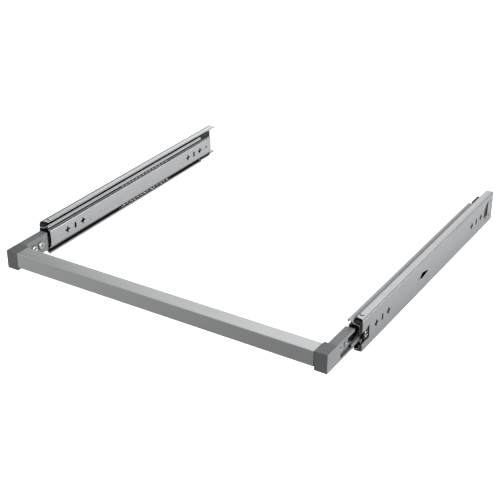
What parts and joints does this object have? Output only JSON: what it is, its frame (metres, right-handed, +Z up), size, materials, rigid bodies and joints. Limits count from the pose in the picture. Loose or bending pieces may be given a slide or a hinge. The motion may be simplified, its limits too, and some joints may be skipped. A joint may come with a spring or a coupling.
{
  "type": "drawer slide",
  "caption": "Telescopic ball-bearing drawer slides joined at the front by a square crossbar in corner brackets, forming a full-extension pull-out frame.",
  "frame": {"origin": "centre of the bounding box in X and Y, on the plane that the lower edges of the slides rest on", "axes": "+X to the right as seen from the front, +Y to the back of the cabinet, +Z up; the frame pulls out along -Y"},
  "size_m": [0.59, 0.5886, 0.053],
  "materials": {
    "bar_aluminium": "fine satin anodised, extruded along its length",
    "bracket_paint": "dark grey satin powder coat on a die casting",
    "zinc_cabinet": "bright zinc plate on cold-rolled sheet",
    "zinc_middle": "bright zinc plate on cold-rolled sheet",
    "zinc_drawer": "bright zinc plate on cold-rolled sheet",
    "cage_steel": "thin pressed strip, lightly oiled",
    "ball_steel": "polished bearing balls",
    "bright_steel": "bright nickel plate",
    "blackened_steel": "black passivated",
    "black_plastic": "moulded, matt"
  },
  "bodies": {
    "cabinet_side": {"left_cabinet_member": "zinc_cabinet", "left_rear_bumper": "black_plastic", "right_cabinet_member": "zinc_cabinet", "right_rear_bumper": "black_plastic"},
    "pull_frame": {"crossbar": "bar_aluminium", "crossbar_screws": "blackened_steel", "left_bracket": "bracket_paint", "left_link_plate": "blackened_steel", "left_bracket_screws": "bright_steel", "left_bracket_nuts": "bright_steel", "left_link_rivets": "zinc_drawer", "left_drawer_member": "zinc_drawer", "right_bracket": "bracket_paint", "right_link_plate": "blackened_steel", "right_bracket_screws": "bright_steel", "right_bracket_nuts": "bright_steel", "right_link_rivets": "zinc_drawer", "right_drawer_member": "zinc_drawer"},
    "left_middle": {"left_intermediate_member": "zinc_middle", "left_front_guide": "black_plastic", "left_guide_rivet": "bright_steel"},
    "left_outer_race": {"left_outer_cage": "cage_steel", "left_outer_balls": "ball_steel"},
    "left_inner_race": {"left_inner_cage": "cage_steel", "left_inner_balls": "ball_steel"},
    "right_middle": {"right_intermediate_member": "zinc_middle", "right_front_guide": "black_plastic", "right_guide_rivet": "bright_steel"},
    "right_outer_race": {"right_outer_cage": "cage_steel", "right_outer_balls": "ball_steel"},
    "right_inner_race": {"right_inner_cage": "cage_steel", "right_inner_balls": "ball_steel"}
  },
  "joints": [
    {"name": "frame_slide", "type": "slide", "parent": "cabinet_side", "child": "pull_frame", "axis": [0, -1, 0], "range_m": [0, 0.5]},
    {"name": "left_middle_slide", "type": "slide", "parent": "cabinet_side", "child": "left_middle", "axis": [0, -1, 0], "range_m": [0, 0.25]},
    {"name": "left_outer_race_slide", "type": "slide", "parent": "cabinet_side", "child": "left_outer_race", "axis": [0, -1, 0], "range_m": [0, 0.125]},
    {"name": "left_inner_race_slide", "type": "slide", "parent": "cabinet_side", "child": "left_inner_race", "axis": [0, -1, 0], "range_m": [0, 0.375]},
    {"name": "right_middle_slide", "type": "slide", "parent": "cabinet_side", "child": "right_middle", "axis": [0, -1, 0], "range_m": [0, 0.25]},
    {"name": "right_outer_race_slide", "type": "slide", "parent": "cabinet_side", "child": "right_outer_race", "axis": [0, -1, 0], "range_m": [0, 0.125]},
    {"name": "right_inner_race_slide", "type": "slide", "parent": "cabinet_side", "child": "right_inner_race", "axis": [0, -1, 0], "range_m": [0, 0.375]}
  ],
  "couplings": [
    {"joint": "left_middle_slide", "follows": "frame_slide", "ratio": 0.5},
    {"joint": "left_outer_race_slide", "follows": "frame_slide", "ratio": 0.25},
    {"joint": "left_inner_race_slide", "follows": "frame_slide", "ratio": 0.75},
    {"joint": "right_middle_slide", "follows": "frame_slide", "ratio": 0.5},
    {"joint": "right_outer_race_slide", "follows": "frame_slide", "ratio": 0.25},
    {"joint": "right_inner_race_slide", "follows": "frame_slide", "ratio": 0.75}
  ]
}
